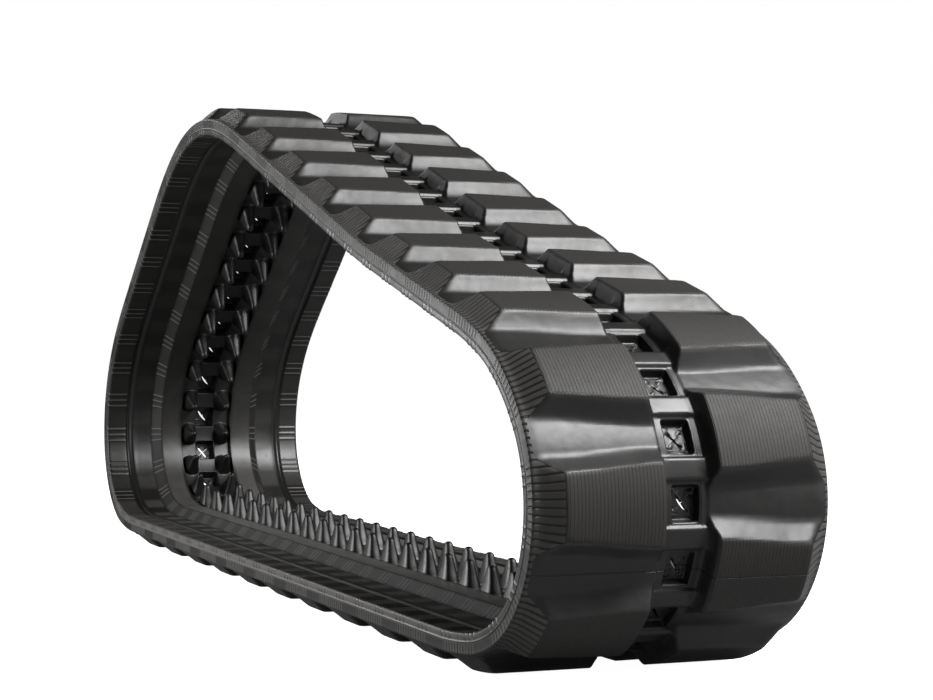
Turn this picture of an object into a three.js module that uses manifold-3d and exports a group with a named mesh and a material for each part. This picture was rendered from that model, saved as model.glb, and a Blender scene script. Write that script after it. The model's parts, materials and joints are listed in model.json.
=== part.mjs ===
// Endless rubber track with a steel core, for a compact track loader, standing on its own.
//
// The belt is one closed loop of links. A place on it is given by three values: the run along
// the neutral line, counted from the top rear and measured in millimetres (s), the distance
// across the belt (y), and the height above the neutral line (n), positive towards the tread.
// +X is the front, +Y is across the belt, +Z is up, and the ground is at z = 0.
import * as THREE from "three";
import { mergeVertices } from "three/addons/utils/BufferGeometryUtils.js";
import Module from "manifold-3d";

const wasm = await Module();
wasm.setup();

// ---------- Driving sizes, in millimetres and degrees ----------

const linkPitch = 86;
const linkCount = 60;
const beltWidth = 450;

const loopLength = linkCount * linkPitch;

// Headings of the three long runs, and the bends between them as [radius, turn] arcs. The radii
// are for a loop of this length, and a longer or shorter loop has them in proportion.
const bendLoop = 5160;
const topRunHeading = -18.5;
const topRunSag = bend([[2500, -3]]);
const topRunSagPlace = 0.65;
const frontBend = bend([[700, 7], [320, 31], [195, 101], [272, 18], [780, 7.5]]);
const rearLowerBend = bend([[430, 11.5], [192, 75], [245, 20], [300, 16.5], [436, 11.5], [900, 5.5]]);
const rearUpperBend = bend([[900, 7], [560, 9], [405, 27.5], [560, 8.5], [930, 6.5]]);

// Run of the first core bar, counted from the rear end of the straight top run.
const firstBarRun = -linkPitch / 2;

// Links between which the belt is divided into four bodies, at the middle of the window that
// is this share of the loop from the first bar.
const frontUpperCut = windowNear(0.25);
const frontLowerCut = windowNear(0.35);
const rearLowerCut = windowNear(0.75);
const rearUpperCut = windowNear(0.95);
const cutGap = 1.2;
const openPivotGap = 5;
const cutSlope = Math.tan(THREE.MathUtils.degToRad(4.2));

// Heights above the neutral line.
const railLevel = -36;
const innerLevel = -18;
const innerGrooveLevel = -15;
const partingLevel = -5;
const coreTop = 4.5;
const cordTop = 6.9;
const plyTop = 9;
const carcassLevel = 14;
const treadLevel = 40;
const fitGap = 0.3;

// Distances from the belt's centre line, as the inner face is laid out.
const spineHalf = 57;
const railWidth = 47;
const railChamferRun = 17;
const grooveInset = 49;
const grooveHalf = 5;
const edgeChamfer = 4;
const sideWall = 8.5;

// Centre strip with its windows and guide horns.
const stripHalf = 24;
const spineLevel = -24;
const windowWall = 5;
const windowHalfWidth = 18;
const skinBottom = -2;
const skinTop = 1;
const bumpOverhang = 1;
const bumpHeight = 5;
const hornRow = 37;
const hornTipLevel = -75;
const hornBase = { length: 56, width: 32 };
const hornTip = { length: 13, width: 11 };

// Tread blocks.
const blockInner = 42;
const blockOuterInset = 38;
const blockValley = 24;
const blockFlankRun = 27;
const blockTaper = 18;
const blockInnerSlope = 9;
const blockOuterSlope = 30;

// Steel core and reinforcement.
const barLength = 30;
const barEndInset = 14;
const cordBandInner = 68;
const cordBandOuterInset = 30;
const plyInner = 62;
const plyOuterInset = 12;
const joinDepth = 0.4;

// Sizes that follow from the ones above.
const blockInnerLength = 2 * (linkPitch - blockFlankRun) - blockValley;
const blockOuterLength = blockInnerLength - blockTaper;
const bumpLength = barLength + 2 * bumpOverhang;
const windowLength = linkPitch - barLength - 2 * windowWall;

// Where the polygon of a bent link has its corners, as a share of the pitch from each bar.
const cornerShare = 0.3;

// ---------- Neutral line ----------

function radians(degrees) {
  return THREE.MathUtils.degToRad(degrees);
}

function bend(arcs) {
  return arcs.map(([radius, turn]) => [(radius * loopLength) / bendLoop, turn]);
}

function windowNear(share) {
  return Math.floor(linkCount * share) + 0.5;
}

function between(low, high, share) {
  return THREE.MathUtils.lerp(low, high, share);
}

function lengthOf(arcs) {
  return arcs.reduce((sum, [radius, turn]) => sum + radius * Math.abs(radians(turn)), 0);
}

// Walks the arcs of a bend from a point and heading, and gives the end point and heading.
function walkBend(arcs, start) {
  let { x, z, heading } = start;
  for (const [radius, turn] of arcs) {
    const next = heading - turn;
    const side = Math.sign(turn);
    x += side * radius * (Math.sin(radians(heading)) - Math.sin(radians(next)));
    z += side * radius * (Math.cos(radians(next)) - Math.cos(radians(heading)));
    heading = next;
  }
  return { x, z, heading };
}

// The three straight runs take the lengths that close the loop at its full number of links.
function straightLengths() {
  const origin = { x: 0, z: 0, heading: topRunHeading };
  const sag = walkBend(topRunSag, origin);
  const front = walkBend(frontBend, sag);
  const rearLower = walkBend(rearLowerBend, front);
  const rearUpper = walkBend(rearUpperBend, rearLower);
  const bends = [topRunSag, frontBend, rearLowerBend, rearUpperBend];
  const arcs = bends.reduce((sum, each) => sum + lengthOf(each), 0);
  const headings = [topRunHeading, sag.heading].map(radians);
  const top = {
    x: between(Math.cos(headings[1]), Math.cos(headings[0]), topRunSagPlace),
    z: between(Math.sin(headings[1]), Math.sin(headings[0]), topRunSagPlace),
  };
  const bottom = { x: Math.cos(radians(front.heading)), z: Math.sin(radians(front.heading)) };
  const rear = { x: Math.cos(radians(rearLower.heading)), z: Math.sin(radians(rearLower.heading)) };
  const system = new THREE.Matrix3(top.x, bottom.x, rear.x, top.z, bottom.z, rear.z, 1, 1, 1);
  const target = new THREE.Vector3(-rearUpper.x, -rearUpper.z, loopLength - arcs);
  const [topLength, bottomLength, rearLength] = target.applyMatrix3(system.invert()).toArray();
  return { topLength, bottomLength, rearLength };
}

// The whole loop as pieces that start at a known run, point and heading.
function loopPieces() {
  const { topLength, bottomLength, rearLength } = straightLengths();
  const route = [
    [[topLength * topRunSagPlace, 0]],
    topRunSag,
    [[topLength * (1 - topRunSagPlace), 0]],
    frontBend,
    [[bottomLength, 0]],
    rearLowerBend,
    [[rearLength, 0]],
    rearUpperBend,
  ].flat();
  const pieces = [];
  let at = { x: 0, z: 0, heading: topRunHeading };
  let run = 0;
  for (const [size, turn] of route) {
    const length = turn === 0 ? size : size * Math.abs(radians(turn));
    pieces.push({ run, length, turn, ...at });
    if (turn === 0) {
      at = {
        x: at.x + size * Math.cos(radians(at.heading)),
        z: at.z + size * Math.sin(radians(at.heading)),
        heading: at.heading,
      };
    } else {
      at = walkBend([[size, turn]], at);
    }
    run += length;
  }
  return pieces;
}

const pieces = loopPieces();

// Point and heading of the smooth neutral line, with s counted from the first core bar.
function neutral(s) {
  const wrapped = THREE.MathUtils.euclideanModulo(s + firstBarRun, loopLength);
  const piece = pieces.findLast((each) => each.run <= wrapped);
  const part = (wrapped - piece.run) / piece.length;
  if (piece.turn === 0) {
    const far = wrapped - piece.run;
    return {
      x: piece.x + far * Math.cos(radians(piece.heading)),
      z: piece.z + far * Math.sin(radians(piece.heading)),
      heading: piece.heading,
    };
  }
  const radius = piece.length / Math.abs(radians(piece.turn));
  return walkBend([[radius, piece.turn * part]], piece);
}

// ---------- Polygon of the belt ----------

// A core bar keeps its link flat, so the belt bends at corners between the bars: two in a
// tight bend, one in a gentle one and none in a straight run.
function beltCorners() {
  const runs = [];
  for (let link = 0; link < linkCount; link += 1) {
    const start = neutral(link * linkPitch).heading;
    const end = neutral((link + 1) * linkPitch).heading;
    const turn = Math.abs(THREE.MathUtils.euclideanModulo(start - end + 180, 360) - 180);
    if (turn > 7) {
      runs.push((link + cornerShare) * linkPitch, (link + 1 - cornerShare) * linkPitch);
    } else if (turn > 0.4) {
      runs.push((link + 0.5) * linkPitch);
    }
  }
  return runs;
}

const corners = beltCorners().map((s) => ({ s, ...neutral(s) }));

// World place of a point of the belt, on the flats between the polygon's corners.
function onBelt(s, y, n) {
  const wrapped = THREE.MathUtils.euclideanModulo(s, loopLength);
  const found = corners.findIndex((corner) => corner.s > wrapped);
  const next = found < 0 ? 0 : found;
  const b = corners[next];
  const a = corners[(next + corners.length - 1) % corners.length];
  const span = THREE.MathUtils.euclideanModulo(b.s - a.s, loopLength);
  const part = THREE.MathUtils.euclideanModulo(wrapped - a.s, loopLength) / span;
  const offset = (c) => ({
    x: c.x - n * Math.sin(radians(c.heading)),
    z: c.z + n * Math.cos(radians(c.heading)),
  });
  const from = offset(a);
  const to = offset(b);
  return new THREE.Vector3(between(from.x, to.x, part), y, between(from.z, to.z, part));
}

// ---------- Solids ----------

// Turns a closed three.js geometry into a solid. A mirrored one has its faces turned over.
function solidOf(geometry, mirrored = false) {
  const bare = geometry.clone();
  bare.deleteAttribute("normal");
  bare.deleteAttribute("uv");
  const merged = mergeVertices(bare, 1e-4);
  const triVerts = new Uint32Array(merged.index.array);
  if (mirrored) {
    for (let i = 0; i < triVerts.length; i += 3) {
      [triVerts[i], triVerts[i + 1]] = [triVerts[i + 1], triVerts[i]];
    }
  }
  const vertProperties = new Float32Array(merged.attributes.position.array);
  return new wasm.Manifold(new wasm.Mesh({ numProp: 3, vertProperties, triVerts }));
}

function geometryOf(solid) {
  const mesh = solid.getMesh();
  const geometry = new THREE.BufferGeometry();
  geometry.setAttribute("position", new THREE.BufferAttribute(mesh.vertProperties, 3));
  geometry.setIndex(new THREE.BufferAttribute(mesh.triVerts, 1));
  geometry.computeVertexNormals();
  return geometry;
}

// Moves every vertex of a geometry to the place that a function gives for it.
function reshape(geometry, place) {
  const position = geometry.attributes.position;
  const vertex = new THREE.Vector3();
  for (let i = 0; i < position.count; i += 1) {
    vertex.fromBufferAttribute(position, i);
    const moved = place(vertex.x, vertex.y, vertex.z);
    position.setXYZ(i, moved.x, moved.y, moved.z);
  }
  return geometry;
}

// A strip of constant cross-section along the belt. The outline is a list of [y, n].
function strip(outline, from, to, side = 1) {
  const inside = corners.map((corner) => corner.s);
  const turns = [0, loopLength].flatMap((turn) => inside.map((s) => s + turn));
  const runs = [from, ...turns.filter((s) => s > from + 1 && s < to - 1), to];
  const shape = new THREE.Shape(outline.map(([y, n]) => new THREE.Vector2(y, n)));
  const steps = runs.length - 1;
  const geometry = new THREE.ExtrudeGeometry(shape, { depth: steps, steps, bevelEnabled: false });
  reshape(geometry, (y, n, step) => onBelt(runs[Math.round(step)], side * y, n));
  return solidOf(geometry, side < 0);
}

// A box on the belt whose corners come from a function of three shares from 0 to 1: across,
// up from the neutral line, and along. The function gives {s, y, n}.
function lump(corner, alongSteps = 1, mirrored = false) {
  const geometry = new THREE.BoxGeometry(1, 1, 1, 1, 1, alongSteps);
  reshape(geometry, (x, y, z) => {
    const at = corner(x + 0.5, y + 0.5, z + 0.5);
    return onBelt(at.s, at.y, at.n);
  });
  return solidOf(geometry, mirrored);
}

// A plain box on the belt.
function slab(sRange, yRange, nRange) {
  return lump((across, up, along) => ({
    s: between(...sRange, along),
    y: between(...yRange, across),
    n: between(...nRange, up),
  }));
}

function joined(solids) {
  return wasm.Manifold.union(solids);
}

// Everything past a cut, seen from one body: its face opens away from the hinge line, so
// that the two bodies can turn about it without meeting.
function beyondCut(link, direction, gap) {
  const { x, z, heading } = neutral(link * linkPitch);
  const reach = 200;
  const outward = 70;
  const inward = -110;
  const back = gap / 2;
  const shape = new THREE.Shape([
    new THREE.Vector2(-back, 0),
    new THREE.Vector2(-back - cutSlope * -inward, inward),
    new THREE.Vector2(reach, inward),
    new THREE.Vector2(reach, outward),
    new THREE.Vector2(-back - cutSlope * outward, outward),
  ]);
  const depth = beltWidth + 100;
  const geometry = new THREE.ExtrudeGeometry(shape, { depth, bevelEnabled: false });
  const cos = Math.cos(radians(heading));
  const sin = Math.sin(radians(heading));
  reshape(geometry, (t, n, y) => ({
    x: x + direction * t * cos - n * sin,
    y: y - depth / 2,
    z: z + direction * t * sin + n * cos,
  }));
  return solidOf(geometry, direction > 0);
}

// ---------- Pieces of one body of the belt ----------

const edge = beltWidth / 2;

function linksOf(body, offset) {
  const first = Math.ceil(body.from - offset - 1);
  const list = [];
  for (let link = first; link + offset < body.to + 1; link += 1) {
    list.push(link + offset);
  }
  return list;
}

function trimmed(solid, body) {
  return solid.subtract(body.before).subtract(body.after);
}

function bandAlong(body, outline, side) {
  return strip(outline, body.from * linkPitch, body.to * linkPitch, side);
}

function rollerPath(body, side) {
  const railEdge = spineHalf + fitGap + railWidth;
  const groove = edge - grooveInset;
  const outline = [
    [spineHalf + fitGap, partingLevel],
    [spineHalf + fitGap, railLevel],
    [railEdge, railLevel],
    [railEdge + railChamferRun, innerLevel],
    [groove - grooveHalf, innerLevel],
    [groove, innerGrooveLevel],
    [groove + grooveHalf, innerLevel],
    [edge - edgeChamfer, innerLevel],
    [edge, innerLevel + edgeChamfer],
    [edge, partingLevel],
  ];
  return trimmed(bandAlong(body, outline, side), body);
}

function treadBlock(link, side) {
  const middle = link * linkPitch;
  const outerTop = edge - blockOuterInset;
  const breaks = [-1, -0.5 + cornerShare, 0.5 - cornerShare, 1];
  return lump((across, up, along) => {
    const base = carcassLevel - 2;
    const drop = 1 - up;
    const y = between(blockInner - drop * blockInnerSlope, outerTop + drop * blockOuterSlope, across);
    const half = between(blockInnerLength, blockOuterLength, across) / 2 + drop * blockFlankRun;
    const step = Math.round(along * 3);
    const reach = Math.abs(breaks[step]) === 1 ? breaks[step] * half : breaks[step] * linkPitch;
    return { s: middle + reach, y: side * y, n: between(base, treadLevel, up) };
  }, 3, side < 0);
}

// Blocks of the two sides are one link out of step with each other.
function tread(body, side) {
  const inner = stripHalf + fitGap;
  const floor = plyTop + fitGap;
  const outline = [
    [inner, floor],
    [edge - sideWall, floor],
    [edge - sideWall, partingLevel + fitGap],
    [edge, partingLevel + fitGap],
    [edge, carcassLevel - edgeChamfer],
    [edge - edgeChamfer, carcassLevel],
    [inner, carcassLevel],
  ];
  const blocks = linksOf(body, 0.5)
    .filter((link) => (Math.floor(link) % 2 === 0) === (side > 0))
    .map((link) => treadBlock(link, side));
  return trimmed(joined([bandAlong(body, outline, side), ...blocks]), body);
}

function guideHorn(link, side) {
  return lump((across, up, along) => {
    const tip = 1 - up;
    const length = between(hornBase.length, hornTip.length, tip);
    const width = between(hornBase.width, hornTip.width, tip);
    return {
      s: link * linkPitch + (along - 0.5) * length,
      y: side * hornRow + (across - 0.5) * width,
      n: between(hornTipLevel, spineLevel + 1, up),
    };
  });
}

function coreBar(link, grow = 0) {
  const middle = link * linkPitch;
  const half = barLength / 2 + grow;
  const reach = edge - barEndInset + grow;
  const low = partingLevel + fitGap;
  return slab([middle - half, middle + half], [-reach, reach], [low - grow, coreTop + grow]);
}

function guideSpine(body) {
  const shoulder = partingLevel - fitGap;
  const outline = [
    [-spineHalf, spineLevel],
    [spineHalf, spineLevel],
    [spineHalf, shoulder],
    [stripHalf, shoulder],
    [stripHalf, carcassLevel],
    [-stripHalf, carcassLevel],
    [-stripHalf, shoulder],
    [-spineHalf, shoulder],
  ];
  const added = [bandAlong(body, outline, 1)];
  const removed = [];
  for (const link of linksOf(body, 0)) {
    const middle = link * linkPitch;
    const half = bumpLength / 2;
    const reach = stripHalf - 1;
    const top = carcassLevel + bumpHeight;
    added.push(guideHorn(link, 1), guideHorn(link, -1));
    added.push(slab([middle - half, middle + half], [-reach, reach], [carcassLevel - 1, top]));
    removed.push(coreBar(link, fitGap));
  }
  for (const link of linksOf(body, 0.5)) {
    const along = [link * linkPitch - windowLength / 2, link * linkPitch + windowLength / 2];
    const across = [-windowHalfWidth, windowHalfWidth];
    removed.push(slab(along, across, [skinTop, treadLevel]));
    removed.push(slab(along, across, [spineLevel - 10, skinBottom]));
  }
  return trimmed(joined(added).subtract(joined(removed)), body);
}

function cordBand(body, side) {
  const low = coreTop + (body.looseBars ? fitGap : -joinDepth);
  const outer = edge - cordBandOuterInset;
  const outline = [
    [cordBandInner, low],
    [outer, low],
    [outer, cordTop],
    [cordBandInner, cordTop],
  ];
  return trimmed(bandAlong(body, outline, side), body);
}

function ply(body, side) {
  const outer = edge - plyOuterInset;
  const outline = [
    [plyInner, cordTop + fitGap],
    [outer, cordTop + fitGap],
    [outer, plyTop],
    [plyInner, plyTop],
  ];
  return trimmed(bandAlong(body, outline, side), body);
}

// ---------- Materials ----------

function material(colour, roughness, metalness) {
  return new THREE.MeshStandardMaterial({ color: colour, roughness, metalness });
}

const treadRubber = material(0x2b2725, 0.62, 0);
const pathRubber = material(0x1f1f20, 0.5, 0);
const spineRubber = material(0x1c1c1d, 0.45, 0);
const steel = material(0x6a6c70, 0.5, 0.8);
const cordSteel = material(0x8b7a4a, 0.45, 0.8);
const plyFabric = material(0x3c3a36, 0.9, 0);

// ---------- Assembly ----------

const bodies = [
  { name: "top_run", from: rearUpperCut, to: frontUpperCut + linkCount, gaps: [cutGap, cutGap] },
  { name: "front_bend", from: frontUpperCut, to: frontLowerCut, gaps: [cutGap, openPivotGap] },
  {
    name: "bottom_run",
    from: frontLowerCut,
    to: rearLowerCut,
    gaps: [openPivotGap, cutGap],
    looseBars: true,
  },
  { name: "rear_run", from: rearLowerCut, to: rearUpperCut, gaps: [cutGap, cutGap] },
];

const track = new THREE.Group();

function addPiece(name, solid, finish) {
  const mesh = new THREE.Mesh(geometryOf(solid), finish);
  mesh.name = name;
  track.add(mesh);
}

for (const body of bodies) {
  body.before = beyondCut(body.from, -1, body.gaps[0]);
  body.after = beyondCut(body.to, 1, body.gaps[1]);
  const bars = linksOf(body, 0).filter((link) => link > body.from && link < body.to);
  for (const [sideName, side] of [["left", -1], ["right", 1]]) {
    addPiece(`${body.name}_${sideName}_roller_path`, rollerPath(body, side), pathRubber);
    addPiece(`${body.name}_${sideName}_tread`, tread(body, side), treadRubber);
    addPiece(`${body.name}_${sideName}_ply`, ply(body, side), plyFabric);
    if (body.looseBars) {
      addPiece(`${body.name}_${sideName}_cord_band`, cordBand(body, side), cordSteel);
    }
  }
  addPiece(`${body.name}_guide_spine`, guideSpine(body), spineRubber);
  if (body.looseBars) {
    bars.forEach((link) => addPiece(`core_bar_${link}`, coreBar(link), steel));
  } else {
    const bands = [cordBand(body, -1), cordBand(body, 1)];
    const skeleton = joined([...bands, ...bars.map((link) => coreBar(link))]);
    addPiece(`${body.name}_bars_and_cords`, skeleton, steel);
  }
}

// The origin is on the ground under the middle of the loop.
const box = new THREE.Box3().setFromObject(track);
const shift = new THREE.Vector3(-(box.min.x + box.max.x) / 2, 0, -box.min.z);
track.position.copy(shift);

// Hinge lines and other places that the record names, for whoever reads the model.
const places = { frontUpperCut, frontLowerCut, rearLowerCut, rearUpperCut };
for (const [name, link] of Object.entries(places)) {
  const { x, z } = neutral(link * linkPitch);
  track.userData[name] = { x: x + shift.x, z: z + shift.z };
}

export default track;
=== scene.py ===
# %% [markdown]
# # An endless rubber track
#
# A small tracked machine runs on a closed belt of rubber with steel inside. Outside it carries
# two rows of tread blocks, one link out of step with each other. Inside it carries two smooth
# paths for the rollers and two rows of guide horns that keep the rollers in line.
# The steel, the cords and the plies come from the CAD frame. This lesson moulds the rubber
# around them.

# %% Load the frame
import json
import math

import bpy
import numpy as np
from mathutils import Matrix, Vector


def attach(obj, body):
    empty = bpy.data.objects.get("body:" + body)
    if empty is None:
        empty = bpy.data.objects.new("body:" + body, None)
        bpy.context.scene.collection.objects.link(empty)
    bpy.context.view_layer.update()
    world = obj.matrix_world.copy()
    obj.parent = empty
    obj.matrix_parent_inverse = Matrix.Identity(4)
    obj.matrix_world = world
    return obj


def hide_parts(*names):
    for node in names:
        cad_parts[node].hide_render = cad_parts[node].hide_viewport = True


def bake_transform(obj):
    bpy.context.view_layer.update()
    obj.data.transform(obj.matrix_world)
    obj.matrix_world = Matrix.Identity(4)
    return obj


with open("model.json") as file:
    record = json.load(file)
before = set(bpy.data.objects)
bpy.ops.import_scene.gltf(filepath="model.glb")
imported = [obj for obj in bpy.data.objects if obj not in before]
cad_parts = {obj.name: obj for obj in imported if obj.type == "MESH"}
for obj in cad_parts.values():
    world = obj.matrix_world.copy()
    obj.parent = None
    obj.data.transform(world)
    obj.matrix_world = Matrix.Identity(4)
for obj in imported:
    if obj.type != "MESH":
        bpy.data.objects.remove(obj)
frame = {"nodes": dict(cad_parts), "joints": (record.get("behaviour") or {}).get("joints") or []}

bpy.context.view_layer.update()

# %% [markdown]
# ## Sizes
#
# All sizes are in millimetres, as a mould maker would write them. A place on the belt is given
# by the run along its neutral line, the distance across, and the height above the neutral
# line, which is positive towards the tread and negative inside the loop. The names below stand
# for the heights of the rail beside the horns, the roller path, the guide strip, the rubber
# between the blocks and the block tops.

# %% Sizes of the belt
PITCH = 86.0
LINKS = 60
LOOP = PITCH * LINKS
EDGE = 225.0
RAIL, INNER, SPINE, CARCASS, TREAD = -36.0, -18.0, -24.0, 14.0, 40.0
BRIDGE, CHANNEL = 4.8, 13.4
print(f"{LINKS} links of {PITCH} mm make a belt {LOOP / 1000} m round and {2 * EDGE} mm wide")

# %% [markdown]
# ## The neutral line
#
# The steel cords can't stretch, so their line keeps its length whatever shape the belt takes.
# It could be drawn as one free curve, but then its length would have to be tuned by hand. Here
# it is a chain of arcs, each with a radius and a turn, and straight runs between them. A
# heading is in degrees, and the top run slopes down towards the front.


# %% Arcs of the bends
TOP_HEADING = -18.5
TOP_SAG = [(2500, -3)]
SAG_PLACE = 0.65
FRONT_BEND = [(700, 7), (320, 31), (195, 101), (272, 18), (780, 7.5)]
REAR_LOWER_BEND = [(430, 11.5), (192, 75), (245, 20), (300, 16.5), (436, 11.5), (900, 5.5)]
REAR_UPPER_BEND = [(900, 7), (560, 9), (405, 27.5), (560, 8.5), (930, 6.5)]


def walk(arcs, start):
    """The end point and heading of a chain of arcs."""
    x, z, heading = start
    for radius, turn in arcs:
        after = heading - turn
        side = math.copysign(1, turn)
        a, b = math.radians(heading), math.radians(after)
        x += side * radius * (math.sin(a) - math.sin(b))
        z += side * radius * (math.cos(b) - math.cos(a))
        heading = after
    return x, z, heading


def arc_length(arcs):
    return sum(radius * abs(math.radians(turn)) for radius, turn in arcs)


def direction(heading):
    return np.array([math.cos(math.radians(heading)), math.sin(math.radians(heading))])


bends = arc_length(TOP_SAG + FRONT_BEND + REAR_LOWER_BEND + REAR_UPPER_BEND)
print("the bends take up", round(bends), "mm of", round(LOOP))

# %% [markdown]
# The three straight runs are the unknowns. Their lengths follow from three equations: the loop
# has to close lengthways, close upwards, and be exactly sixty links round.

# %% Straight runs that close the loop
sag = walk(TOP_SAG, (0.0, 0.0, TOP_HEADING))
front = walk(FRONT_BEND, sag)
rear_lower = walk(REAR_LOWER_BEND, front)
rear_upper = walk(REAR_UPPER_BEND, rear_lower)
top = SAG_PLACE * direction(TOP_HEADING) + (1 - SAG_PLACE) * direction(sag[2])
closing = np.array([top, direction(front[2]), direction(rear_lower[2])]).T
closing = np.vstack([closing, np.ones(3)])
lengths = np.linalg.solve(closing, [-rear_upper[0], -rear_upper[1], LOOP - bends])
top_length, bottom_length, rear_length = lengths

# each step of the route is (length, 0) for a straight run or (radius, turn) for an arc
route = [(top_length * SAG_PLACE, 0), *TOP_SAG, (top_length * (1 - SAG_PLACE), 0), *FRONT_BEND]
route += [(bottom_length, 0), *REAR_LOWER_BEND, (rear_length, 0), *REAR_UPPER_BEND]

rows = []
at = (0.0, 0.0, TOP_HEADING)
run = 0.0
for size, turn in route:
    length = size if turn == 0 else arc_length([(size, turn)])
    rows.append((run, length, turn, size, *at))
    if turn == 0:
        ahead = direction(at[2]) * size
        at = (at[0] + ahead[0], at[1] + ahead[1], at[2])
    else:
        at = walk([(size, turn)], at)
    run += length
ROUTE = np.array(rows)
print("straight runs", np.round(lengths, 1), "closing error", np.round(at[:2], 6))

# %% [markdown]
# The route now has the right shape but starts at its own zero. The lower rear hinge of the
# frame lies on the same line, halfway between bars 45 and 46, so it tells how far to shift it.


# %% Places on the belt
HINGE_LINKS = {"rear_lower_flex": 45.5, "rear_upper_flex": 57.5, "front_upper_flex": 75.5}
OPEN_PIVOT = 21.5
joints = {joint["name"]: joint["pos_m"] for joint in frame["joints"]}


def neutral(s):
    """Point (x, z) and heading in radians on the neutral line, for an array of runs."""
    s = np.mod(np.asarray(s, float) - PITCH / 2, LOOP)
    piece = ROUTE[np.searchsorted(ROUTE[:, 0], s, side="right") - 1]
    start, length, turn, size, x, z, heading = np.moveaxis(piece, -1, 0)
    far = s - start
    a = np.radians(heading)
    b = a - np.radians(turn) * far / length
    side = np.sign(turn)
    straight = turn == 0
    along = np.where(straight, far * np.cos(a), side * size * (np.sin(a) - np.sin(b)))
    up = np.where(straight, far * np.sin(a), side * size * (np.cos(b) - np.cos(a)))
    return x + along, z + up, b


hinge = joints["rear_lower_flex"]
hinge_x, hinge_z, _ = neutral(HINGE_LINKS["rear_lower_flex"] * PITCH)
SHIFT = (hinge[0] * 1000 - float(hinge_x), hinge[2] * 1000 - float(hinge_z))


def place(s, y, n):
    """Points of the frame, in metres, for places on the belt."""
    x, z, heading = neutral(s)
    x = x + SHIFT[0] - n * np.sin(heading)
    z = z + SHIFT[1] + n * np.cos(heading)
    return np.stack(np.broadcast_arrays(x, y, z), -1) * 0.001


print("the line is shifted by", np.round(SHIFT, 2), "mm")

# %% [markdown]
# ## Rounded edges
#
# A mould is milled with round cutters, so nothing on the rubber is truly sharp. Bevels on a
# finished mesh would be the usual way, but they break up where many edges meet. Here the
# heights themselves are rounded: a smooth minimum rounds the edge where two faces meet
# outwards, and a smooth maximum fills the corner where they meet inwards.


# %% Helpers for smooth shapes
def smooth_step(low, high, value):
    t = np.clip((value - low) / (high - low), 0, 1)
    return t * t * (3 - 2 * t)


def smooth_min(a, b, k):
    h = np.maximum(k - np.abs(a - b), 0) / k
    return np.minimum(a, b) - h * h * k / 4


def smooth_max(a, b, k):
    return -smooth_min(-a, -b, k)


def rounded_drop(share, radius):
    """How far a rounded edge has dropped, where share goes from 0 to 1 over its radius."""
    return radius * (1 - np.sqrt(1 - share**2))


print("a smooth minimum of 1 and 1:", smooth_min(1.0, 1.0, 0.4))

# %% [markdown]
# ## Ribs over the bars
#
# Six moulded lines share each pair of links evenly, and the three next to every steel bar stand
# out as ribs on the inner faces and the side wall. x is the distance along the belt from the
# middle of a tread block, and a block's middle lies halfway between two bars.


# %% Ribs
LINE = PITCH / 6
BAR_LINES = [2, 3, 4, 8, 9, 10]


def lines(x, wanted):
    """1 on the moulded lines whose number is wanted, and 0 beside them. They are LINE apart."""
    number = np.round(x / LINE)
    near = np.clip((2.2 - np.abs(x - number * LINE)) / 1.4, 0, 1)
    return near * np.isin(np.mod(number, 12), wanted)


print("ribs at", [round(number * LINE, 1) for number in BAR_LINES], "mm from a block's middle")

# %% [markdown]
# ## Tread blocks
#
# Each block is a low pyramid with its top cut off. It narrows a little towards the belt's edge,
# its flanks curve into the rubber between the blocks, and its outer end slopes down to the side
# wall. One function gives the share of a block that stands at any place, and the outer face
# lays that share over the carcass, together with the bridges that run from the bars to the
# blocks.

# %% A tread block and the outer face
BLOCK_HALF, BLOCK_TAPER, FLANK_RUN = 47, 9, 27
BLOCK_START, BLOCK_RISE = 42, 9
BLOCK_END, END_RUN = 187, 30
BRIDGE_FOOT, BRIDGE_TOP = 17.5, 11.5
EDGE_ROUND = 5


def block_share(x, a):
    """How much of a block stands at x along the belt from its middle and a across it, and how
    much of it is the sloping outer end, both 0 to 1."""
    t = np.clip((a - BLOCK_START) / (BLOCK_END - BLOCK_START), 0, 1)
    half = BLOCK_HALF - BLOCK_TAPER * t * t * (3 - 2 * t)
    far = (np.abs(x) - half) / FLANK_RUN
    flank = np.where(far < 0, 1 - 1.4 * far, np.clip(1 - far, 0, 1) ** 1.4)
    outer = 1 - (a - BLOCK_END) / END_RUN
    inner = 1 - (BLOCK_START - a) / BLOCK_RISE
    ends = smooth_min(smooth_min(flank, outer, 0.4), inner, 0.3)
    share = smooth_min(ends, 1.0, 0.13)
    return smooth_max(share, 0.0, 0.22), smooth_step(-0.1, 0.25, flank - outer)


def outer_face(x, a):
    """Height of the outer face, the block share, and where the finish has comb lines."""
    share, on_end = block_share(x, a)
    n = CARCASS + (TREAD - CARCASS) * share
    from_bar = np.abs(np.mod(x, PITCH) - PITCH / 2)
    bridge = smooth_step(BRIDGE_FOOT, BRIDGE_TOP, from_bar) * smooth_step(40, 34, a)
    n = n + BRIDGE * bridge * (1 - share)
    corner = np.clip((a - EDGE + EDGE_ROUND) / EDGE_ROUND, 0, 1)
    on_end = np.maximum(on_end, smooth_step(56, 50, np.abs(x)) * (a > 214))
    return n - rounded_drop(corner, EDGE_ROUND), share, on_end * smooth_step(188, 190, a)


print("a block rises", TREAD - CARCASS, "mm over its length of", 2 * (BLOCK_HALF + FLANK_RUN))

# %% [markdown]
# ## Roller path and side wall
#
# The rollers run on a flat path. A chamfer leads up from it to the rail beside the horns, a
# shallow groove and a round bead mark its outer edge, and the ribs cross the chamfer and the
# border. The side wall has the same ribs and a thin ridge where the two mould halves met.

# %% Inner face and side face
RAIL_EDGE, CHAMFER_EDGE, GROOVE, BEAD = 104.3, 121.3, 165, 176
RIB_HEIGHT = 1.1


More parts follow.
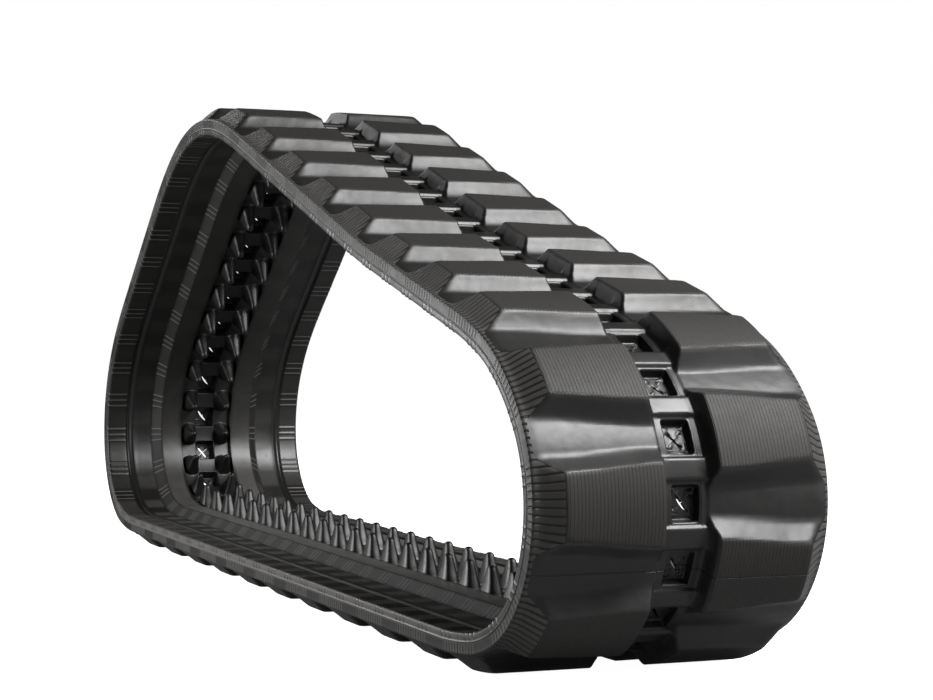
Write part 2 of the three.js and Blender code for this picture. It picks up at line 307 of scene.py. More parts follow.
def inner_face(x, a):
    """Height of the inner face, and where it has ribs."""
    chamfer = RAIL + (a - RAIL_EDGE) * (INNER - RAIL) / (CHAMFER_EDGE - RAIL_EDGE)
    n = smooth_min(smooth_max(chamfer, RAIL, 2.0), INNER, 2.0)
    n = n - RIB_HEIGHT * np.clip((2.5 - np.abs(a - GROOVE)) / 1.5, 0, 1)
    n = n + 3.0 * smooth_step(5.5, 3.2, np.abs(a - BEAD))
    ribbed = smooth_step(181, 183, a) + smooth_step(103, 106, a) * smooth_step(124, 121, a)
    ribs = lines(x, BAR_LINES) * ribbed
    n = n - RIB_HEIGHT * ribs
    corner = np.clip((a - EDGE + EDGE_ROUND) / EDGE_ROUND, 0, 1)
    foot = np.clip((58.5 - a) / 1.5, 0, 1)
    return n + rounded_drop(corner, EDGE_ROUND) + rounded_drop(foot, 1.5), ribs


def side_face(x, n):
    """Distance of the side face from the belt's middle, and where it has ribs."""
    ribs = lines(x, BAR_LINES) * smooth_step(-6.5, -7.5, n)
    parting = np.clip((1.3 - np.abs(n + 5)) / 0.8, 0, 1)
    return EDGE - 1.0 + ribs + 0.9 * parting, ribs


print("roller path", GROOVE - CHAMFER_EDGE, "mm wide,", INNER - RAIL, "mm below the rail")

# %% [markdown]
# ## The two halves of the belt
#
# Each side of the belt is one closed tube of rubber round the steel: the tread outside, the
# side wall, and the roller path inside. It is drawn as a grid of stations along the belt and
# columns round the section. Both are closer together where the shape turns quickly, so that
# the corners are crisp and the flat stretches cost little.

# %% Columns and stations of a half
OUTER = [24, 27, 30, 32, 34, 36, 38, 40, 42, 44.5, 49, 58, 70, 84, 98, 112, 126, 140, 154, 166]
OUTER += [175, 181, 185, 187.5, 190, 194, 199, 204, 209, 213, 216, 218.5, 221, 223, 224.4]
SIDE = [10, 5, 1, -2.4, -3.6, -4.5, -5.5, -6.6, -7.7, -10.5]
INSIDE = [224.4, 223, 221, 218, 210, 200, 190, 183.2, 181, 178.8, 176, 173.2, 171, 168, 166]
INSIDE += [164, 162, 152, 138, 126, 123.3, 121, 118, 112, 107.5, 105.5, 103.5, 101, 90, 78, 66]
INSIDE += [60, 58.5, 57.7, 57.0]
HIDDEN = [(57.0, -30.0), (57.0, -12.0), (24.0, -12.0), (24.0, 8.0)]
RIB_STATIONS = [-2.2, -0.8, 0.8, 2.2, 5.4, 8.9]


def half_stations():
    """Runs from the middle of a block to the same place on the next one, two links on."""
    x = []
    for number in range(12):
        middle = [0.0] if number % 6 == 0 else []
        x += [number * LINE + offset for offset in sorted(RIB_STATIONS + middle)]
    x = np.array(x)
    return x[(x >= -1e-9) & (x < 2 * PITCH - 3)].tolist() + [2 * PITCH - 2.2, 2 * PITCH - 0.8]


def half_section(x):
    """Section of a half at x from a block's middle: distances across, heights, and how far
    each place is on a block, on a ruled block end and on a rib."""
    x = np.asarray(x)[:, None]
    wrapped = np.mod(x + PITCH, 2 * PITCH) - PITCH
    flat = np.zeros_like(x)
    outer, side, inside = (np.array(column, float)[None] + flat for column in (OUTER, SIDE, INSIDE))
    hidden_y, hidden_n = (np.array(column)[None] + flat for column in zip(*HIDDEN))
    outer_n, share, ruled = outer_face(wrapped, outer)
    side_y, side_ribs = side_face(wrapped, side)
    inside_n, ribs = inner_face(wrapped, inside)
    y = np.hstack([outer, np.minimum(side_y, EDGE), np.minimum(inside, 224.4), hidden_y])
    n = np.hstack([outer_n, side, inside_n, hidden_n])
    side_ruled = (np.abs(wrapped) < 52) & (side > -4)
    crest = np.hstack([share, 0 * side, 0 * inside, 0 * hidden_n])
    ruled = np.hstack([ruled, side_ruled, 0 * inside, 0 * hidden_n])
    return y, n, crest, ruled, np.hstack([0 * outer, side_ribs, ribs, 0 * hidden_n])


half = half_section(half_stations())
print("half:", len(half_stations()), "stations in two links,", half[0].shape[1], "columns")

# %% [markdown]
# ## Horns and windows
#
# Between the two rows of blocks runs a narrow strip. At each steel bar it has a raised bridge,
# and between the bars it has a square window for a tooth of the drive sprocket. A thin skin of
# rubber with a cross of ribs closes each window, slit along both diagonals.
# Inside, each bar carries a pair of tall horns. A horn's outline is a rounded rectangle that
# shrinks upwards, so its height at a place is the level whose outline passes through it. That
# level is found by halving.

# %% Horns and windows
HORN_HEIGHT, HORN_ACROSS = 51, 37
HORN_TIP, HORN_FOOT = (7.5, 6.0), (28.0, 16.5)
WINDOW_LONG, WINDOW_WIDE = 23.0, 20.0
SKIN_OUTSIDE, SKIN_INSIDE = 0.5, -2.0


def horn(x, a):
    """Height of a guide horn: long and narrow at its foot, with a rounded tip."""
    px, pa = np.abs(x) + 1e-6, np.abs(a - HORN_ACROSS) + 1e-6
    low, high = np.zeros(np.broadcast(px, pa).shape), np.ones(np.broadcast(px, pa).shape)
    for _ in range(14):
        mid = (low + high) / 2
        slim = (1 - mid) ** 1.25
        half_x, half_a = (tip + (foot - tip) * slim for tip, foot in zip(HORN_TIP, HORN_FOOT))
        inside = (px / half_x) ** 3.2 + (pa / half_a) ** 3.2 < 1
        low, high = np.where(inside, mid, low), np.where(inside, high, mid)
    cap = HORN_HEIGHT - 3.0 * ((px / 6.5) ** 2 + (pa / 5.5) ** 2)
    return np.maximum(smooth_min(HORN_HEIGHT * low, cap, 5.0), 0)


def window(x, y):
    """How far a place is inside the window (0 to 1), and the cross of ribs on its skin."""
    far = np.abs(np.abs(x) - PITCH / 2)
    inside = smooth_min(WINDOW_LONG - far, WINDOW_WIDE - np.abs(y), 4.0)
    cross = np.abs(WINDOW_WIDE * far - WINDOW_LONG * np.abs(y)) / math.hypot(WINDOW_WIDE, WINDOW_LONG)
    rib = smooth_step(2.6, 0.9, cross) * (0.4 + 1.7 * smooth_step(5, 13, np.hypot(far, y)))
    return smooth_step(-0.7, 1.3, inside), rib


def strip_face(x, y):
    open_share, cross = window(x, y)
    bridge = smooth_step(BRIDGE_FOOT, BRIDGE_TOP, np.abs(x))
    n = CHANNEL + (CARCASS + BRIDGE - CHANNEL) * bridge
    return n - open_share * (CHANNEL - SKIN_OUTSIDE - cross)


def guide_face(x, y):
    open_share, cross = window(x, y)
    return SPINE + open_share * (SKIN_INSIDE - SPINE - cross) - horn(x, np.abs(y))


print("a horn stands", round(float(SPINE - guide_face(0.0, float(HORN_ACROSS))), 1), "mm tall")

# %% [markdown]
# ## The centre of the belt
#
# The slits run slantwise, and a straight grid would cut them into steps. So the grid itself
# turns round the middle of each window, and its two middle bands are squeezed to the width of
# the slits: one gapes, the other is nearly shut. On the rear run they gape the other way.

# %% Columns and stations of the centre
STRIP = [24, 22.8, 21.3, 20.3, 19.2, 17.3, 15.2, 13, 11, 9, 7, 5, 3.2, 1.6, 0]
STRIP += [-value for value in STRIP[-2::-1]]
WING = [26, 27.4, 28.8, 30, 31.2, 32.6, 34.5, 37, 39.5, 41.4, 42.8, 44, 45.2, 46.6, 48.4]
WING += [50.4, 52.6, 55, 57]
LINK = [0, 4, 7, 9.5, 12, 14, 15.6, 17.2, 19, 19.9, 20.8, 22, 24, 26.2, 28.6, 31.3, 34]
LINK += [35.4, 37.6, 39.8, 41.4]
SLIT_LONG, SLIT_HALF, SLIT_TURN = 14.5, 1.6, 38.0
CENTRE_HIDDEN = [(57.0, -12.0), (24.0, -12.0), (24.0, 4.0)]


def turned(x, y, lean):
    """The grid turns round the middle of each window, so that the slits run along it. Where
    lean is 1 or -1 the wide slit leans to either side, and where it is 0 nothing turns."""
    middle = np.where(x < 0, -PITCH / 2, PITCH / 2)
    far = x - middle
    turn = lean * math.radians(SLIT_TURN) * smooth_step(22, 14.8, np.hypot(far, y))
    wide = 0.3 + 1.6 * (1 - (far / SLIT_LONG) ** 2)
    narrow = 0.12 + 0.22 * (1 - (y / SLIT_LONG) ** 2)
    slit_y = np.where((np.abs(far) < SLIT_LONG) & (np.abs(y) < 1.7) & (lean != 0), wide, 1)
    slit_far = np.where((np.abs(y) < SLIT_LONG) & (np.abs(far) < 1.7) & (lean != 0), narrow, 1)
    y, far = y * slit_y, far * slit_far
    return middle + far * np.cos(turn) - y * np.sin(turn), far * np.sin(turn) + y * np.cos(turn)


def centre_section(x, lean):
    """Section of the centre at x from a bar, with the lean of the slits (0 for none)."""
    x = np.asarray(x, float)[:, None]
    strip, wing = (np.array(column)[None] + np.zeros_like(x) for column in (STRIP, WING))
    strip_x, strip_y = turned(x + np.zeros_like(strip), strip, lean)
    side = np.array(CENTRE_HIDDEN).T[:, None, :] + np.zeros((2, len(x), 1))
    left = side[:, :, ::-1] * np.array([-1, 1])[:, None, None]
    # outer face from right to left, left wall, inner face from left to right, right wall
    y = np.hstack([strip_y, left[0], -wing[:, ::-1], strip_y[:, ::-1], wing, side[0]])
    along = [strip_x, x + 0 * left[0], x + 0 * wing, strip_x[:, ::-1], x + 0 * wing, x + 0 * side[0]]
    n = np.hstack([
        strip_face(strip_x, strip_y),
        left[1],
        guide_face(x, -wing[:, ::-1]),
        guide_face(strip_x[:, ::-1], strip_y[:, ::-1]),
        guide_face(x, wing),
        side[1],
    ])
    return np.hstack(along) - x, y, n


centre = centre_section([0.0], 1)
print("centre:", len(LINK) * 2, "stations a link,", centre[1].shape[1], "columns")

# %% [markdown]
# ## From grid to mesh
#
# A grid becomes a skin of four-sided faces. Its normals are averaged with the weight of each
# face, so broad faces stay flat and narrow ones at their edges look rounded. They are worked
# out on the whole belt, which keeps the joints between lengths of it invisible. A long length
# is unwrapped in strips that lie one over the other, so that its map isn't stretched.


# %% Faces, normals and maps of a grid
FACTS = ("crest", "ruled", "ribs")


def grid_normals(points):
    """Normals of a grid that is closed both ways, weighted by the area of the faces."""
    right = np.roll(points, -1, 1)
    ahead = np.roll(points, -1, 0)
    across = np.roll(right, -1, 0)
    face = np.cross(across - points, ahead - right)
    total = face + np.roll(face, 1, 0) + np.roll(face, 1, 1) + np.roll(face, (1, 1), (0, 1))
    return total / np.maximum(np.linalg.norm(total, axis=-1, keepdims=True), 1e-12)


def grid_faces(belt, rows):
    """Numbers of a length's points, its faces, and the row and column of each face."""
    width = belt["y"].shape[1]
    vertex = np.arange(len(rows) * width).reshape(len(rows), width)
    beside = np.roll(vertex, -1, 1)
    quads = np.stack([vertex[:-1], beside[:-1], beside[1:], vertex[1:]], -1)
    keep = ~belt["holes"][rows[:-1]] if "holes" in belt else np.ones(quads.shape[:2], bool)
    i, j = np.nonzero(keep)
    return vertex, quads[i, j], i, j


def unwrap(points, s, i, j):
    """Map places of the faces at rows i and columns j, and the number of strips."""
    around = np.linalg.norm(np.roll(points[0], -1, 0) - points[0], axis=-1)
    v = np.concatenate([[0], np.cumsum(around)])
    strips = max(1, round(math.sqrt((s[-1] - s[0]) / (v[-1] * 1000))))
    v = v / v[-1] * 0.94
    share = (s - s[0]) / (s[-1] - s[0]) * strips
    strip = np.minimum(np.floor(share[i] + 1e-6), strips - 1)
    u = np.stack([share[i], share[i], share[i + 1], share[i + 1]], 1) - strip[:, None]
    v = (np.stack([v[j], v[j + 1], v[j + 1], v[j]], 1) + strip[:, None] + 0.01) / strips
    return np.stack([u * 0.99 + 0.005, v], -1), strips


def end_caps(vertex, s, strips):
    """Corners, map places and normals of the two flat faces that close a length."""
    width = vertex.shape[1]
    corners = np.concatenate([vertex[0][::-1], vertex[-1]])
    spin = np.linspace(0, 2 * math.pi, width, endpoint=False)
    cap = np.stack([0.5 + 0.4 * np.cos(spin), (0.97 + 0.01 * np.sin(spin)) / strips], -1)
    outwards = [place(s[k] + d, 0.0, 0.0) - place(s[k], 0.0, 0.0) for k, d in ((0, -1.0), (-1, 1.0))]
    normals = [np.broadcast_to(v / np.linalg.norm(v), (width, 3)) for v in outwards]
    return corners, np.concatenate([cap[::-1], cap]), np.concatenate(normals)


print("facts kept with every point:", ", ".join(FACTS))

# %% [markdown]
# The arrays go into a mesh in one go, which is far quicker than adding faces one by one. Every
# point also keeps its run, its distance across and its height, and the finishes read them.


# %% The builder of one length of belt
def write_mesh(name, points, loops, starts, slots):
    mesh = bpy.data.meshes.new(name)
    mesh.vertices.add(len(points))
    mesh.vertices.foreach_set("co", points.astype(np.float32).ravel())
    mesh.loops.add(len(loops))
    mesh.loops.foreach_set("vertex_index", loops.astype(np.int32))
    mesh.polygons.add(len(starts))
    mesh.polygons.foreach_set("loop_start", starts.astype(np.int32))
    mesh.polygons.foreach_set("material_index", slots.astype(np.int32))
    mesh.update(calc_edges=True)
    mesh.validate()
    return mesh


def length_of_belt(name, belt, start, end, cut_start=0.0, cut_end=0.0):
    """A closed mesh of the belt's grid between two runs, given in links."""
    turns = np.concatenate([belt["runs"], belt["runs"] + LOOP])
    chosen = np.nonzero((turns > start * PITCH - 1e-6) & (turns < end * PITCH + 1e-6))[0]
    rows, s = chosen % len(belt["runs"]), turns[chosen]
    y, n, along = (belt[key][rows] for key in ("y", "n", "along"))
    points = place(s[:, None] + along, y, n)
    for index, cut in ((0, cut_start), (-1, -cut_end)):
        if cut:
            points[index] = place(s[index] + cut, y[index], n[index])

    vertex, faces, i, j = grid_faces(belt, rows)
    maps, strips = unwrap(points, s, i, j)
    if "walls" in belt:
        walls = belt["walls"](vertex, rows)
        faces = np.vstack([faces, walls])
        patch = np.array([[0.1, 0.96], [0.2, 0.96], [0.2, 0.98], [0.1, 0.98]]) / [1, strips]
        maps = np.concatenate([maps, np.broadcast_to(patch, (len(walls), 4, 2))])
    corners, cap_maps, cap_normals = end_caps(vertex, s, strips)
    loops = np.concatenate([faces.ravel(), corners])
    starts = np.append(np.arange(len(faces) + 1) * 4, faces.size + len(corners) // 2)
    slots = np.zeros(len(starts))
    slots[:len(j)] = belt["slots"][j]

    mesh = write_mesh(name, points.reshape(-1, 3), loops, starts, slots)
    maps = np.concatenate([maps.reshape(-1, 2), cap_maps])
    mesh.uv_layers.new(name="OFBake").data.foreach_set("uv", maps.astype(np.float32).ravel())
    facts = {"run": (s[:, None] + along) % LOOP, "across": y, "height": n}
    facts.update({key: belt[key][rows] for key in FACTS})
    for key, values in facts.items():
        attribute = mesh.attributes.new(key, "FLOAT", "POINT")
        attribute.data.foreach_set("value", values.astype(np.float32).ravel())
    normals = np.concatenate([belt["normals"][rows].reshape(-1, 3)[faces.ravel()], cap_normals])
    mesh.normals_split_custom_set(normals.tolist())
    piece = bpy.data.objects.new(name, mesh)
    bpy.context.scene.collection.objects.link(piece)
    for material in belt["finishes"]:
        mesh.materials.append(material)
    print(f"{name}: {len(faces)} faces, {(end - start) * PITCH / 1000:.2f} m long, {strips} strips")
    return piece


# %% [markdown]
# ## The whole belt, before it is cut into lengths
#
# The blocks of the left half follow the odd bars and those of the right half the even ones. The
# right half is the left one mirrored, so its columns run the other way to keep the faces
# pointing outwards. Where rubber meets rubber at the strip's edge, the normals of the next
# column are used, so that the joint doesn't show as a bright line.


# %% Grid of one half
def half_belt(side):
    """The whole grid of one side: -1 for the left, whose blocks follow the odd bars."""
    x = np.array(half_stations())
    y, n, *facts = half_section(x)
    first = 1.5 if side < 0 else 0.5
    runs = ((first + 2 * np.arange(LINKS // 2)) * PITCH)[:, None] + x[None]
    order = np.argsort(np.mod(runs.ravel(), LOOP))
    repeat = np.tile(np.arange(len(x)), LINKS // 2)[order]
    belt = {"runs": np.mod(runs.ravel(), LOOP)[order], "y": side * y[repeat], "n": n[repeat]}
    belt.update({key: values[repeat] for key, values in zip(FACTS, facts)})
    belt["along"] = np.zeros_like(belt["y"])
    if side > 0:
        for key in ("y", "n", "along", *FACTS):
            belt[key] = belt[key][:, ::-1]
    belt["normals"] = grid_normals(place(belt["runs"][:, None], belt["y"], belt["n"]))
    edge, beside = (0, 1) if side < 0 else (-1, -2)
    belt["normals"][:, edge] = belt["normals"][:, beside]
    slots = (np.arange(y.shape[1]) >= len(OUTER) + 3).astype(int)
    belt["slots"] = slots if side < 0 else np.roll(slots[::-1], -1)
    return belt


left, right = half_belt(-1), half_belt(1)
print("halves:", left["y"].shape, "and", right["y"].shape, "points")

# %% [markdown]
# The slits are cells left out of the grid, outside and inside, with walls through the skin
# round their edges. The window at the open pivot has no slit, because two lengths of belt meet
# there.


# %% Grid of the centre
def slit_cells(x, lean):
    """The cells of the strip that are cut away, for stations at x from their bars."""
    strip = np.array(STRIP)
    far = (np.abs(x) - PITCH / 2)[:, None]
    beside = (strip + np.roll(strip, -1))[None] / 2
    ahead = (far + np.roll(far, -1, 0)) / 2
    long_way = (np.abs(ahead) < SLIT_LONG) & (np.abs(beside) < SLIT_HALF)
    short_way = (np.abs(ahead) < SLIT_HALF) & (np.abs(beside) < SLIT_LONG)
    return (long_way | short_way) & (lean != 0)[:, None] & (np.arange(len(STRIP)) < len(STRIP) - 1)


def slit_walls(cut, inner_first, vertex, rows):
    """Faces through the skin, round the edge of each slit."""
    twin = lambda row, column: vertex[row, inner_first + len(STRIP) - 1 - column]
    here = cut[rows[:-1]]
    found = []
    for i, c in zip(*np.nonzero(here)):
        corners = [(i, c), (i, c + 1), (i + 1, c + 1), (i + 1, c)]
        beyond = [(i - 1, c), (i, c + 1), (i + 1, c), (i, c - 1)]
        for (a, b), side in zip(zip(corners, corners[1:] + corners[:1]), beyond):
            if not here[side]:
                found.append([vertex[a], vertex[b], twin(*b), twin(*a)])
    return np.array(found)


def centre_belt():
    """The whole grid of the centre, with its slits."""
    x = np.concatenate([LINK, [PITCH / 2], PITCH - np.array(LINK, float)[:0:-1]])
    runs = (np.arange(LINKS) * PITCH)[:, None] + x[None]
    middles = np.floor(runs / PITCH) + 0.5
    lean = np.where((middles > 42) & (middles < 60), -1, 1)
    lean = np.where(middles == OPEN_PIVOT, 0, lean).ravel()
    x = np.tile(np.where(x > PITCH / 2, x - PITCH, x), LINKS)
    along, y, n = centre_section(x, lean[:, None])
    belt = {"runs": runs.ravel(), "along": along, "y": y, "n": n}
    belt.update({key: np.zeros_like(y) for key in FACTS})
    belt["slots"] = np.zeros(y.shape[1], int)
    belt["normals"] = grid_normals(place(belt["runs"][:, None] + along, y, n))
    count = len(STRIP)
    for edge, beside in ((0, 1), (count - 1, count - 2)):
        belt["normals"][:, edge] = belt["normals"][:, beside]

    cut = slit_cells(x, lean)
    # inside, the slits lie one column further to the left, so they lean through the skin
    inner_first = count + len(CENTRE_HIDDEN) + len(WING) - 1
    belt["holes"] = np.zeros(y.shape, bool)
    belt["holes"][:, :count] = cut
    belt["holes"][:, inner_first:inner_first + count - 1] = cut[:, count - 2::-1]
    belt["walls"] = lambda vertex, rows: slit_walls(cut, inner_first, vertex, rows)
    return belt


middle = centre_belt()
print("centre:", middle["y"].shape, "points,", int(middle["holes"].sum()), "cells cut away")

# %% [markdown]
# ## Rubber
#
# New moulded rubber is nearly black. Its colour hardly changes over the belt, and what the eye
# reads is its gloss: the walls of the mould were polished where rubber has to flow, and ruled
# with fine lines on the block tops. So the finishes below put their work into roughness and
# bumps, and follow the belt's own run and distance across. Node trees written out link by link
# are hard to read, so one small class lets them be written as sums and products.


# %% A wrapper for sockets
class Value:
    """One output socket, which can be used in expressions like a number."""

    def __init__(self, tree, socket):
        self.tree, self.socket = tree, socket

    def node(self, kind, settings, inputs, output=0):
        """Adds a node of any kind: first its settings, then values or links of its sockets."""
        made = self.tree.nodes.new(kind)
        for key, value in settings.items():
            setattr(made, key, value)
        for key, value in inputs.items():
            if isinstance(value, Value):
                self.tree.links.new(value.socket, made.inputs[key])
            else:
                made.inputs[key].default_value = value
        return Value(self.tree, made.outputs[output])

    def maths(self, operation, *values):
        return self.node("ShaderNodeMath", {"operation": operation}, dict(enumerate(values)))

    def __add__(self, other):
        return self.maths("ADD", self, other)

    def __sub__(self, other):
        return self.maths("SUBTRACT", self, other)

    def __rsub__(self, other):
        return self.maths("SUBTRACT", other, self)

    def __mul__(self, other):
        return self.maths("MULTIPLY", self, other)

    def __truediv__(self, other):
        return self.maths("DIVIDE", self, other)

    def __rtruediv__(self, other):
        return self.maths("DIVIDE", other, self)

    __radd__ = __add__
    __rmul__ = __mul__

    def distance(self, other):
        return self.maths("ABSOLUTE", self - other)

    def to_and_fro(self, reach):
        """Climbs to reach and falls back to 0, again and again."""
        return self.maths("PINGPONG", self, reach)

    def step(self, low, high):
        """0 below low, 1 above high, smooth between. low may be the larger."""
        settings = {"interpolation_type": "SMOOTHSTEP"}
        if low < high:
            return self.node("ShaderNodeMapRange", settings, {0: self, 1: low, 2: high})
        return self.node("ShaderNodeMapRange", settings, {0: self, 1: high, 2: low, 3: 1.0, 4: 0.0})

    def between(self, low, high, soft):
        """1 from low to high, with soft borders outside them."""
        return self.step(low - soft, low) * self.step(high + soft, high)


print("operators:", ", ".join(name for name in vars(Value) if name.startswith("__r")))


# %% Helpers for finishes
# near black, used for painted shade in grooves and on ribs, and for the dark mould seams
SHADE_AND_SEAM_BLACK = (0.004, 0.004, 0.004)
SEAMS = (18.5, 50.5)


def new_material(name):
    """A material, its shader node, and a value from which its expressions start."""
    made = bpy.data.materials.new(name)
    made.use_nodes = True
    shader = made.node_tree.nodes["Principled BSDF"]
    shader.inputs["Specular IOR Level"].default_value = 0.5
    return made, shader, Value(made.node_tree, None)


def fact(start, name):
    return start.node("ShaderNodeAttribute", {"attribute_name": name}, {}, "Fac")


def object_place(start):
    return start.node("ShaderNodeTexCoord", {}, {}, "Object")


def speckle(start, size, detail=3.0, rough=0.55):
    """Noise with features about this size, in metres."""
    inputs = {"Vector": object_place(start), "Scale": 1 / size, "Detail": detail, "Roughness": rough}
    return start.node("ShaderNodeTexNoise", {}, inputs, "Fac")


def mix_colour(start, share, a, b):
    pair = {6: a if isinstance(a, Value) else (*a, 1), 7: b if isinstance(b, Value) else (*b, 1)}
    return start.node("ShaderNodeMix", {"data_type": "RGBA"}, {0: share, **pair}, 2)


def finish(shader, **outputs):
    for key, value in outputs.items():
        shader.id_data.links.new(value.socket, shader.inputs[key.replace("_", " ")])


def bumps(start, height, distance=0.001):
    """Normals of a surface whose height is in millimetres."""
    return start.node("ShaderNodeBump", {}, {"Height": height, "Distance": distance, "Strength": 1.0})


def mould_seam(run):
    """The joint between two presses of the mould, where it crosses the belt."""
    first, second = (run.distance(link * PITCH).step(1.3, 0.5) for link in SEAMS)
    return first + second


print("mould seams at links", SEAMS)

# %% [markdown]
# The tread keeps three marks of its mould. The block tops are ruled with fine lines along the belt,
# about 5 mm apart, with painted shade in them. The sloping outer ends have comb lines across the
# belt, nine to a link, with painted shade in their grooves, and they are painted paler, as if lit. A
# band below the top edge of each block gets a painted highlight. Everything else is smooth with
# broad, shallow waves.
# These marks are too fine to be worth modelling, so they are bumps, while every larger shape
# is real.

# %% Tread rubber
TOP_LINES, COMB_LINES = 5.4, PITCH / 9
DARK_RUBBER, TOP_RUBBER = (0.0088, 0.0083, 0.0078), (0.0185, 0.0160, 0.0145)
# colours of painted light: the paler block ends and the highlight below the blocks' top edges
PAINTED_END_LIGHT, RIDGE_HIGHLIGHT = (0.105, 0.101, 0.096), (0.045, 0.043, 0.041)


def tread_rubber():
    made, shader, start = new_material("tread_rubber")
    run, across, crest = (fact(start, key) for key in ("run", "across", "crest"))
    top = crest.step(0.93, 0.985)
    ruled = across.to_and_fro(TOP_LINES / 2).step(0.9, 0.35) * top
    comb = (run - PITCH / 2).to_and_fro(COMB_LINES / 2)
    on_end = fact(start, "ruled").step(0.35, 0.65)
    cuts, groove = comb.step(2.4, 0.4) * on_end, comb.step(1.9, 0.9) * on_end
    cloud, grain = speckle(start, 0.11), speckle(start, 0.0011, 2.0)
    blotches, wave = speckle(start, 0.02, 5.0, 0.7), speckle(start, 0.035, 1.5)
    edge = crest.step(0.70, 0.90) * crest.step(0.985, 0.92)
    seam = mould_seam(run)
    colour = mix_colour(start, top * (0.55 + 0.45 * cloud), DARK_RUBBER, TOP_RUBBER)
    # painted highlight in a band just below each block's top edge, broken up by noise
    colour = mix_colour(start, edge * blotches * 0.5, colour, RIDGE_HIGHLIGHT)
    # painted light: the sloping block ends are painted paler, as if lit
    colour = mix_colour(start, on_end * (0.3 + 0.6 * cloud), colour, PAINTED_END_LIGHT)
    # painted shade in the ruled lines and in the comb grooves; the mould seams are dark joints
    colour = mix_colour(start, ruled * 0.25 + (seam + groove) * 0.8, colour, SHADE_AND_SEAM_BLACK)
    rough = 0.39 + 0.10 * cloud + top * 0.20 + (blotches - 0.5) * 0.12
    relief = ruled * -0.4 + (grain - 0.5) * (0.06 + top * 0.22) + seam * -0.9 + cuts * -1.3
    relief = relief + (wave - 0.5) * (1 - top) * 1.2
    finish(shader, Base_Color=colour, Roughness=rough, Normal=bumps(start, relief))
    return made


tread_finish = tread_rubber()
print("tread lines", TOP_LINES, "mm apart, comb lines", round(COMB_LINES, 1), "mm apart")

# %% [markdown]
# The inner faces were pressed against a polished core, so they are glossier than the tread.
# Broad, shallow waves in the cured rubber bend the reflections. A painted sheen makes the roller path
# paler between the bars, and the rail, the border and the side wall too, mostly on the bottom run,
# and painted highlights lighten the ribs over the bars. On the side wall the same ribs get painted
# shade and look dark.

# %% Inner and guide rubber
PAINTED_SHEEN, RIB_HIGHLIGHT = (0.125, 0.121, 0.113), (0.13, 0.125, 0.12)


def painted_sheen_and_shade(start, colour, run, aside):
    """Adds a painted sheen, mostly on the bottom run, painted highlights on the inner ribs, and
    painted shade on the side wall's ribs.
    """
    between_bars = run.to_and_fro(PITCH / 2).step(16, 32)
    path = aside.between(126, 162, 3) * between_bars
    rail = aside.step(60, 66) * aside.step(104, 100)
    border = aside.step(182, 185) * aside.step(223.8, 223.2) * between_bars
    wall = aside.step(223.4, 223.9)
    cloud = speckle(start, 0.05, 4.0)
    lowest = run.step(18 * PITCH, 25 * PITCH) * run.step(47 * PITCH, 40 * PITCH)
    # painted sheen: the roller path, rail, border and side wall are painted paler, mostly on the
    # bottom run
    pale = (path * 0.75 + rail * 1.2 + border * 0.5 + wall * 1.8) * (0.12 + 0.88 * lowest)
    colour = mix_colour(start, pale * (0.3 + cloud), colour, PAINTED_SHEEN)
    ribs = fact(start, "ribs")
    # painted highlight on the ribs of the inner face
    colour = mix_colour(start, ribs * (1 - wall) * 0.7, colour, RIB_HIGHLIGHT)
    # painted shade on the ribs of the side wall
    return mix_colour(start, ribs * wall * 0.85, colour, SHADE_AND_SEAM_BLACK)


def smooth_rubber(name, base, gloss, wave, paths=False):
    made, shader, start = new_material(name)
    run = fact(start, "run")
    cloud, grain = speckle(start, 0.09), speckle(start, 0.0009, 2.0)
    wander, blotches = speckle(start, 0.06, 1.5), speckle(start, 0.012, 5.0, 0.7)
    seam = mould_seam(run)
    rub = blotches.step(0.56, 0.72)
    colour = mix_colour(start, cloud * 0.6 + rub * 0.25, base, [value * 1.9 for value in base])
    rough = gloss + 0.12 * cloud + 0.10 * rub
    if paths:
        aside = fact(start, "across").distance(0)
        colour = painted_sheen_and_shade(start, colour, run, aside)
        rough = rough + 0.3 * aside.between(105, 121, 3)
    colour = mix_colour(start, seam * 0.6, colour, SHADE_AND_SEAM_BLACK)
    relief = (wander - 0.5) * wave + (grain - 0.5) * 0.07 + seam * -0.6
    finish(shader, Base_Color=colour, Roughness=rough, Normal=bumps(start, relief))
    return made


inner_finish = smooth_rubber("inner_rubber", (0.0080, 0.0076, 0.0071), 0.32, 1.4, True)
guide_finish = smooth_rubber("guide_rubber", (0.0074, 0.0071, 0.0067), 0.34, 1.4)
print("rubber:", tread_finish.name, inner_finish.name, guide_finish.name)

# %% [markdown]
# ## Moulding the belt
#
# A real belt bends at every link. The frame gathers that flex at three hinges, and a piece of
# rubber can bend over one hinge only. So each half is made in three lengths and the centre in
# four, cut where a straight stretch makes the joint invisible. At the open pivot, where the
# frame has no hinge, half a millimetre is cut off both ends.

# %% Make the lengths, and hang the one that lies on a single body
left["finishes"] = right["finishes"] = [tread_finish, inner_finish]
middle["finishes"] = [guide_finish]
PIVOT_CUT = 0.5

# for each hinge, how far the flex spreads on either side, in mm, and its lean in degrees
HINGES = {
    ("bottom_run", "rear_run"): ("rear_lower_flex", 90.0, 0.0),
    ("rear_run", "top_run"): ("rear_upper_flex", 110.0, 0.0),
    ("top_run", "front_bend"): ("front_upper_flex", 80.0, -20.0),
}


def flex(piece, first, second):
    """Looks up the hinge between two bodies and bakes the length's place into its points; it doesn't
    make the length bend.
    """
    name, reach, turn = HINGES[first, second]
    _, _, heading = neutral(HINGE_LINKS[name] * PITCH)
    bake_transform(piece)


def cuts_at_pivot(start, end):
    """What is cut off a length at the open pivot, whose link is counted once at each end."""
    if start == OPEN_PIVOT:
        return {"cut_start": PIVOT_CUT}
    return {"cut_end": PIVOT_CUT} if end == OPEN_PIVOT + LINKS else {}


